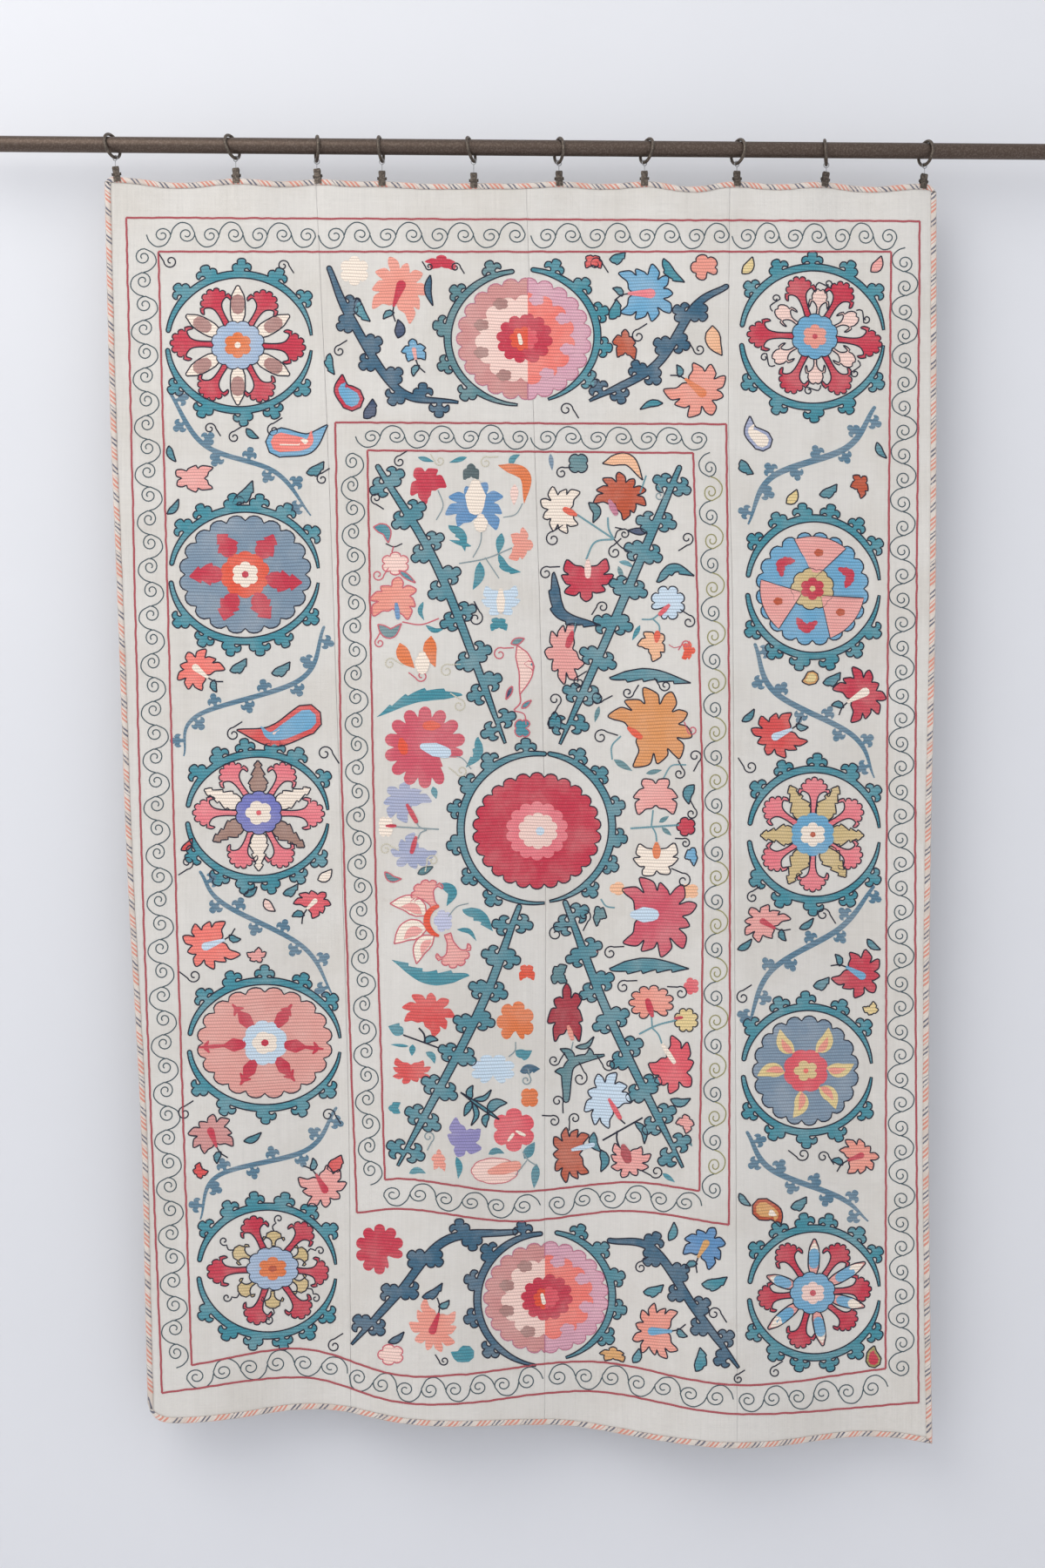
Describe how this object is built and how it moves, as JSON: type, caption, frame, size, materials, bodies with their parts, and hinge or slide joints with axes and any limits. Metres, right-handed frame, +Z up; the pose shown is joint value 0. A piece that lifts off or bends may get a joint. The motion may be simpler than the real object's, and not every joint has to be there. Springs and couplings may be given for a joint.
{
  "type": "suzani embroidered wall hanging on a curtain rod with ring clips",
  "caption": "Embroidered cotton hanging of sewn strips with vines, flowers and rosettes, striped binding, hung from a bronze rod by rings and clips.",
  "frame": {"origin": "on the rod's axis, halfway along the rod", "axes": "+X along the rod to the viewer's right, +Y away from the viewer towards the wall, +Z up"},
  "size_m": [1.8, 0.0524, 2.0908],
  "materials": {
    "rod_bronze": "satin brown bronze coating",
    "ring_bronze": "antique bronze, rubbed",
    "eye_steel": "plain steel wire",
    "clip_bronze": "dark antique bronze",
    "ivory_cotton": "plain woven ivory cotton",
    "striped_binding": "narrow striped cotton cut on the slant",
    "embroidery_thread": "couched and chain-stitched cotton and silk thread"
  },
  "bodies": {
    "root": {"rod": "rod_bronze", "ring_01": "ring_bronze", "ring_02": "ring_bronze", "ring_03": "ring_bronze", "ring_04": "ring_bronze", "ring_05": "ring_bronze", "ring_06": "ring_bronze", "ring_07": "ring_bronze", "ring_08": "ring_bronze", "ring_09": "ring_bronze", "ring_10": "ring_bronze", "eye_01": "eye_steel", "eye_02": "eye_steel", "eye_03": "eye_steel", "eye_04": "eye_steel", "eye_05": "eye_steel", "eye_06": "eye_steel", "eye_07": "eye_steel", "eye_08": "eye_steel", "eye_09": "eye_steel", "eye_10": "eye_steel", "clip_01": "clip_bronze", "clip_02": "clip_bronze", "clip_03": "clip_bronze", "clip_04": "clip_bronze", "clip_05": "clip_bronze", "clip_06": "clip_bronze", "clip_07": "clip_bronze", "clip_08": "clip_bronze", "clip_09": "clip_bronze", "clip_10": "clip_bronze", "panel_1": "ivory_cotton", "panel_2": "ivory_cotton", "panel_3": "ivory_cotton", "panel_4": "ivory_cotton", "binding_top": "striped_binding", "binding_bottom": "striped_binding", "binding_left": "striped_binding", "binding_right": "striped_binding"}
  },
  "joints": []
}
